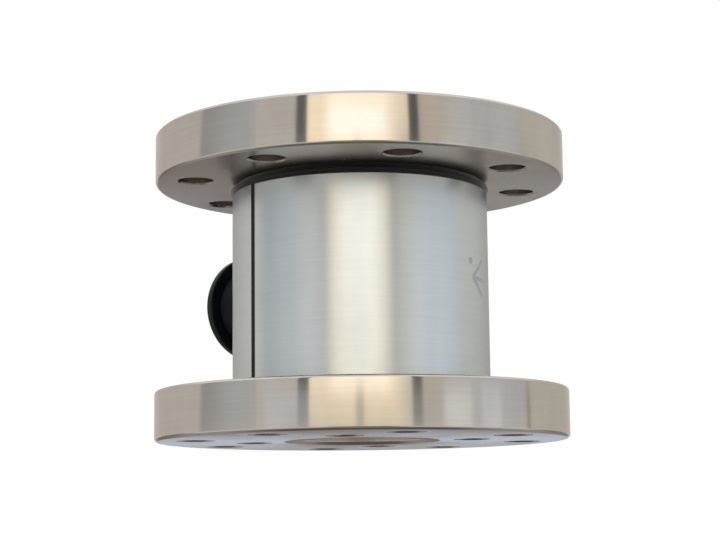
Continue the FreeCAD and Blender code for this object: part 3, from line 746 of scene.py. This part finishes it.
SADDLE_START = 20.0     # the saddle flange is turned from here and cut to the round of its seat
SADDLE_HALF = 30.0
adapter = turned("adapter", [
    (NECK_BORE, SADDLE_START), (SADDLE_RAD, SADDLE_START), (SADDLE_RAD, SADDLE_FACE, 0.5),
    (NECK_RAD, SADDLE_FACE, 0.9), (NECK_RAD, COLLAR_BACK - 2 * NECK_FLARE, 1.0),
    (NECK_RAD + NECK_FLARE, COLLAR_BACK, 0.3), (NECK_BORE, COLLAR_BACK),
], ANODISED, 128)
saddle = bmesh.new()
turn(saddle, [(0.0, -SADDLE_HALF), (SEAT_RAD, -SADDLE_HALF), (SEAT_RAD, SADDLE_HALF),
              (0.0, SADDLE_HALF)], 360)
bmesh.ops.rotate(saddle, cent=(0, 0, 0), matrix=Matrix.Rotation(math.pi / 2, 3, "X"),
                 verts=saddle.verts)
adapter = subtract(adapter, finish_mesh("saddle", saddle, ANODISED), ANODISED)
to_connector(adapter)
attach(adapter, "root")
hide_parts("connector_adapter")

COLLAR_EDGE = 0.3
shell_parts = [turned("shell_body", [
    (TAIL_RAD, shell_low.y), (NECK_BORE - FIT, shell_low.y), (NECK_BORE - FIT, COLLAR_BACK),
    (COLLAR_RAD - COLLAR_EDGE, COLLAR_BACK, 0.1), (COLLAR_RAD, COLLAR_BACK + COLLAR_EDGE, 0.1),
    (COLLAR_RAD, COLLAR_FACE - COLLAR_EDGE, 0.1),
    (COLLAR_RAD - COLLAR_EDGE, COLLAR_FACE, 0.1), (BARREL_RAD, COLLAR_FACE, 0.3),
    (BARREL_RAD, BARREL_END, 0.3), (MOUTH_RAD, BARREL_END, 0.3), (MOUTH_RAD, INSERT_STEP),
    (TAIL_RAD, INSERT_STEP),
], ANODISED, 192)]
LUG_RAD = 0.9
LUG_FOOT = 8.6
LUG_TOP = 10.5
LUG_PLACE = COLLAR_FACE + 3.63
for index in range(3):
    lug = turned("lug", [(0.0, LUG_FOOT), (LUG_RAD, LUG_FOOT), (LUG_RAD, LUG_TOP, 0.2),
                         (0.0, LUG_TOP)], ANODISED, 32)
    lug.data.transform(Matrix.Rotation(math.radians(120 * index), 4, "Z")
                       @ Matrix.Translation((0, 0, LUG_PLACE * MM))
                       @ Matrix.Rotation(math.pi / 2, 4, "X"))
    shell_parts.append(lug)
shell = to_connector(joined("shell", shell_parts))
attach(shell, "root")
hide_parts("connector_shell")

insert = turned("insert", [
    (0.0, insert_low.y), (TAIL_RAD - FIT, insert_low.y), (TAIL_RAD - FIT, INSERT_STEP),
    (MOUTH_RAD - FIT, INSERT_STEP), (MOUTH_RAD - FIT, INSERT_FACE, 0.15), (0.0, INSERT_FACE),
], INSERT, 96)
to_connector(insert)
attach(insert, "root")
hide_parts("connector_insert")

pins = []
for index in range(6):
    pin = turned("pin", [(0.0, pin_low.y), (PIN_RAD, pin_low.y), (PIN_RAD, pin_high.y, 0.35),
                         (0.0, pin_high.y)], GOLD, 32)
    x, y = on_circle(PIN_CIRCLE, 60 * index)
    pin.data.transform(Matrix.Translation((x * MM, y * MM, 0)))
    pins.append(pin)
contacts = to_connector(joined("contacts", pins))
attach(contacts, "root")
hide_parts("contact_pins")


SHANK_RAD = 1.2
SCREW_SIDES = 72
KNURL_DEEP = 0.07
SOCKET_HALF = 1.0       # half the width across the flats
SOCKET_DEEP = 1.2


def socket_screw(x, y):
    """Cap screw with a knurled head and a hexagon socket, head seat on the saddle flange."""
    bm = bmesh.new()
    top = SADDLE_FACE + HEAD_HIGH
    rows = []
    for radius, level, knurl in (
            (SHANK_RAD, screw_low.y, False), (SHANK_RAD, SADDLE_FACE, False),
            (HEAD_RAD, SADDLE_FACE, False), (HEAD_RAD, SADDLE_FACE + 0.2, True),
            (HEAD_RAD, top - 0.5, True), (HEAD_RAD - 0.06, top - 0.45, False),
            (HEAD_RAD - 0.3, top, False)):
        row = []
        for step in range(SCREW_SIDES):
            angle = 2 * math.pi * step / SCREW_SIDES
            size = radius - (KNURL_DEEP if knurl and step % 3 == 0 else 0.0)
            row.append(bm.verts.new((size * math.cos(angle), size * math.sin(angle), level)))
        rows.append(row)
    for level in (top, top - SOCKET_DEEP):
        row = []
        for step in range(SCREW_SIDES):
            angle = 2 * math.pi * step / SCREW_SIDES
            local = (angle + math.pi / 6) % (math.pi / 3) - math.pi / 6
            size = SOCKET_HALF / math.cos(local)
            row.append(bm.verts.new((size * math.cos(angle), size * math.sin(angle), level)))
        rows.append(row)
    for lower, upper in zip(rows, rows[1:]):
        for step in range(SCREW_SIDES):
            after = (step + 1) % SCREW_SIDES
            bm.faces.new((lower[step], lower[after], upper[after], upper[step]))
    bm.faces.new(rows[0])
    bm.faces.new(rows[-1])
    bmesh.ops.translate(bm, vec=(x, y, 0), verts=bm.verts)
    return finish_mesh("screw", bm, SCREW)


screws = [socket_screw(x * SCREW_ACROSS, y * SCREW_ACROSS) for x in (-1, 1) for y in (-1, 1)]
screws = to_connector(joined("saddle_screws", screws))
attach(screws, "root")
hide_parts("adapter_screws")

# Pieces whose solids are right as they are get their own materials.
for node, material in {
    "lower_seal_ring": SEAL, "connector_gasket": SEAL, "connector_oring": SEAL,
    "gauge_1": FILM, "gauge_2": FILM, "gauge_3": FILM, "gauge_4": FILM, "gauge_harness": LEAD,
    "terminal_board": BOARD, "board_screws": SCREW, "trim_resistors": CHIP, "connector_leads": LEAD,
}.items():
    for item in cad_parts[node].material_slots:
        item.material = material


# Studio. Angles are degrees from the camera's side, counted to its right.

def around(azimuth, radius, level):
    angle = math.radians(azimuth + VIEW_TURN)
    return Vector((radius * math.sin(angle), -radius * math.cos(angle), level))


def glow(name):
    """Emission that takes its colour from the mesh."""
    material = bpy.data.materials.new(name)
    material.use_nodes = True
    tree = material.node_tree
    tree.nodes.clear()
    paint = tree.nodes.new("ShaderNodeVertexColor")
    paint.layer_name = "light"
    shine = tree.nodes.new("ShaderNodeEmission")
    out = tree.nodes.new("ShaderNodeOutputMaterial")
    tree.links.new(paint.outputs["Color"], shine.inputs["Color"])
    tree.links.new(shine.outputs[0], out.inputs["Surface"])
    return material


def rise(value, low, high):
    """0 below low, 1 above high, smooth between."""
    share = min(max((value - low) / (high - low), 0.0), 1.0)
    return share * share * (3 - 2 * share)


def span(value, low, high, soft):
    """1 inside the two limits, fading out over soft on each side."""
    return rise(value, low - soft, low) * (1 - rise(value, high, high + soft))


def mixed(first, second, share):
    return tuple(a + (b - a) * share for a, b in zip(first, second))


def studio_light(azimuth, elevation):
    """Colour of the studio as the metal sees it: a large warm light behind the camera with a dark
    edge on each side, paler walls round it, a bright ceiling, and below the horizon a dark table
    with a pale blue edge at the back."""
    low = 1 - rise(elevation, 5.0, 10.0)
    color = mixed((0.70, 0.65, 0.60), (0.72, 0.73, 0.76), low * span(azimuth, -50, -35, 4))
    right = mixed((0.70, 0.62, 0.53), (0.68, 0.64, 0.59), low)
    right = mixed(right, (0.67, 0.675, 0.68), rise(azimuth, 36, 62))
    color = mixed(color, right, rise(azimuth, 0, 30))
    shade = mixed((0.44, 0.43, 0.425), (0.56, 0.58, 0.585), rise(azimuth, -94, -70))
    color = mixed(color, shade, span(azimuth, -95, -59, 3))
    color = mixed(color, (0.70, 0.65, 0.60), rise(-azimuth, 95, 100))
    color = mixed(color, (0.68, 0.635, 0.575), rise(azimuth, 94, 101))
    color = mixed(color, (0.95, 0.95, 0.94), 0.9 * low * span(azimuth, 46, 58, 4))
    color = mixed(color, (0.86, 0.89, 0.94), 0.9 * low * span(azimuth, 68, 78, 3))
    color = mixed(color, (0.42, 0.39, 0.34), low * span(azimuth, 99.5, 101.5, 1.2))
    edge = max(span(azimuth, -33.6, -27.9, 0.5), span(azimuth, 26.6, 31.8, 0.5))
    low_edge = mixed((0.46, 0.47, 0.50), (0.34, 0.34, 0.33), rise(azimuth, 0, 1))
    color = mixed(color, mixed((0.13, 0.14, 0.135), low_edge, low), edge)
    warm = mixed((1.18, 1.03, 0.80), (1.50, 1.25, 0.92), rise(elevation, 4.0, 12.0))
    warm = mixed(warm, (1.10, 1.06, 0.99), rise(elevation, 18.0, 27.0))
    core = mixed((1.18, 1.02, 0.76), (1.95, 1.55, 1.16), rise(elevation, 5.0, 8.0))
    core = mixed(core, (1.75, 1.86, 1.76), span(elevation, 11.5, 16.0, 1.5))
    core = mixed(core, (1.20, 1.17, 1.10), rise(elevation, 18.0, 27.0))
    core = mixed(warm, core, span(azimuth, -12, 11, 9))
    core = mixed(core, (0.90, 0.82, 0.70),
                 (1 - 0.6 * rise(elevation, 10.0, 12.0)) * rise(azimuth, 17, 25))
    color = mixed(color, core, span(azimuth, -27.4, 26.3, 0.5))
    color = mixed(color, (0.64, 0.59, 0.48), low * span(azimuth, -2.6, 0.8, 0.6))
    color = mixed(color, (1.0, 0.99, 0.97), rise(elevation, 26.0, 40.0))
    front = 1 - rise(abs(azimuth), 95, 125)
    behind = mixed((0.29, 0.24, 0.215), (0.34, 0.31, 0.275), rise(azimuth, -90, 90))
    below = mixed(behind, (0.84, 0.76, 0.70), front)
    below = mixed(below, (0.22, 0.19, 0.175),
                  span(azimuth, -14, 14, 9) * rise(-elevation, 4.0, 10.0))
    below = mixed(below, (0.42, 0.405, 0.385), rise(-elevation, 20.0, 34.0))
    color = mixed(color, below, rise(-elevation, 0.5, 5.0))
    color = mixed(color, (0.62, 0.69, 0.79),
                  span(elevation, -6.0, 0.0, 1.0) * rise(abs(azimuth), 135, 155))
    return mixed(color, (0.15, 0.13, 0.115), rise(-elevation, 45.0, 65.0))


DOME_RAD = 2.2      # metres


def studio_dome():
    """Closed shell of light round the object that only reflections see."""
    azimuths = [step / 2 - 180 for step in range(720)]
    # Rows lie one degree apart near the horizon, where the rims and the faces look.
    levels = [-90 + 5 * step for step in range(14)] + [step - 22 for step in range(54)]
    levels += [34 + 4 * step for step in range(15)]
    verts = []
    colors = []
    for level in levels:
        height = math.sin(math.radians(level))
        flat = math.cos(math.radians(level))
        for azimuth in azimuths:
            verts.append(around(azimuth, DOME_RAD * flat, DOME_RAD * height))
            colors.extend((*studio_light(azimuth, level), 1.0))
    count = len(azimuths)
    faces = [(row * count + step, row * count + (step + 1) % count,
              (row + 1) * count + (step + 1) % count, (row + 1) * count + step)
             for row in range(len(levels) - 1) for step in range(count)]
    mesh = bpy.data.meshes.new("studio_dome")
    mesh.from_pydata(verts, [], faces)
    paint = mesh.color_attributes.new("light", "FLOAT_COLOR", "POINT")
    paint.data.foreach_set("color", colors)
    mesh.materials.append(glow("studio_glow"))
    dome = new_object("studio_dome", mesh)
    dome.visible_camera = False
    dome.visible_diffuse = False
    dome.visible_shadow = False


studio_dome()

# Floor: pale from above near the object, clear from below and to everything but the camera.
FLOOR_HALF = 6.0
FLOOR_LEVEL = -0.0004
floor_mesh = bpy.data.meshes.new("floor")
floor_mesh.from_pydata([(x * FLOOR_HALF, y * FLOOR_HALF, FLOOR_LEVEL)
                        for x, y in ((-1, -1), (1, -1), (1, 1), (-1, 1))], [], [(0, 1, 2, 3)])
floor = new_object("floor", floor_mesh)
floor_material = bpy.data.materials.new("floor_paper")
floor_material.use_nodes = True
tree = floor_material.node_tree
tree.nodes.clear()
out = tree.nodes.new("ShaderNodeOutputMaterial")
paper = tree.nodes.new("ShaderNodeBsdfDiffuse")
paper.inputs["Color"].default_value = (0.86, 0.86, 0.86, 1)
clear = tree.nodes.new("ShaderNodeBsdfTransparent")
rays = tree.nodes.new("ShaderNodeLightPath")
side = tree.nodes.new("ShaderNodeNewGeometry")
coords = tree.nodes.new("ShaderNodeTexCoord")
length = tree.nodes.new("ShaderNodeVectorMath")
length.operation = "LENGTH"
tree.links.new(coords.outputs["Object"], length.inputs[0])
fade = tree.nodes.new("ShaderNodeMapRange")
fade.interpolation_type = "SMOOTHSTEP"
for key, value in {"From Min": 0.16, "From Max": 0.9, "To Min": 1.0, "To Max": 0.0}.items():
    fade.inputs[key].default_value = value
tree.links.new(length.outputs["Value"], fade.inputs["Value"])
front = math_node(tree, "SUBTRACT", 1.0, side.outputs["Backfacing"])
seen = math_node(tree, "MULTIPLY", rays.outputs["Is Camera Ray"], front)
shown = math_node(tree, "MULTIPLY", seen, fade.outputs["Result"])
mix = tree.nodes.new("ShaderNodeMixShader")
tree.links.new(shown, mix.inputs[0])
tree.links.new(clear.outputs[0], mix.inputs[1])
tree.links.new(paper.outputs[0], mix.inputs[2])
tree.links.new(mix.outputs[0], out.inputs["Surface"])
floor_mesh.materials.append(floor_material)

# World: white to the camera and to reflections, soft grey light otherwise.
world = bpy.data.worlds.new("studio")
bpy.context.scene.world = world
world.use_nodes = True
tree = world.node_tree
tree.nodes.clear()
out = tree.nodes.new("ShaderNodeOutputWorld")
rays = tree.nodes.new("ShaderNodeLightPath")
white = tree.nodes.new("ShaderNodeBackground")
white.inputs["Color"].default_value = (1, 1, 1, 1)
soft = tree.nodes.new("ShaderNodeBackground")
soft.inputs["Color"].default_value = (1, 1, 1, 1)
soft.inputs["Strength"].default_value = 0.55
seen = math_node(tree, "MAXIMUM", rays.outputs["Is Camera Ray"], rays.outputs["Is Glossy Ray"])
seen = math_node(tree, "MAXIMUM", seen, rays.outputs["Is Transmission Ray"])
mix = tree.nodes.new("ShaderNodeMixShader")
tree.links.new(seen, mix.inputs[0])
tree.links.new(soft.outputs[0], mix.inputs[1])
tree.links.new(white.outputs[0], mix.inputs[2])
tree.links.new(mix.outputs[0], out.inputs["Surface"])


def lamp(name, azimuth, distance, level, size, power):
    """Soft square lamp that lights the matt surfaces and the floor."""
    light = bpy.data.lights.new(name, "AREA")
    light.shape = "SQUARE"
    light.size = size
    light.energy = power
    piece = bpy.data.objects.new(name, light)
    piece.location = around(azimuth, distance, level)
    aim = Vector((0, 0, LENGTH * MM / 2)) - piece.location
    piece.rotation_euler = aim.to_track_quat("-Z", "Y").to_euler()
    piece.visible_glossy = False
    bpy.context.scene.collection.objects.link(piece)


lamp("lamp_left", -50, 0.7, 0.9, 0.6, 4.0)
lamp("lamp_right", 70, 0.8, 0.7, 0.8, 3.0)
lamp("lamp_back", 170, 0.8, 0.8, 0.8, 2.0)
lamp("lamp_under", 20, 0.5, -0.5, 0.6, 1.0)

# Camera as the photograph was taken, a little below the lower flange and looking up.
CAMERA_PLACE = Vector((0.0, -0.43225, -0.02135))
CAMERA_LOOK = Vector((-0.000207, 0.989263, 0.146146))
CAMERA_ROLL = -0.0110
forward = CAMERA_LOOK.normalized()
level_right = forward.cross(Vector((0, 0, 1))).normalized()
level_up = level_right.cross(forward)
right = level_right * math.cos(CAMERA_ROLL) + level_up * math.sin(CAMERA_ROLL)
up = level_up * math.cos(CAMERA_ROLL) - level_right * math.sin(CAMERA_ROLL)
pose = Matrix((right, up, -forward)).transposed().to_4x4()
pose.translation = CAMERA_PLACE
lens = bpy.data.cameras.new("camera")
lens.sensor_fit = "HORIZONTAL"
lens.sensor_width = 36.0
lens.lens = 87.73
lens.clip_start = 0.01
camera = bpy.data.objects.new("camera", lens)
bpy.context.scene.collection.objects.link(camera)
camera.matrix_world = Matrix.Rotation(math.radians(VIEW_TURN), 4, "Z") @ pose
bpy.context.scene.camera = camera
bpy.context.scene.view_settings.view_transform = "Standard"
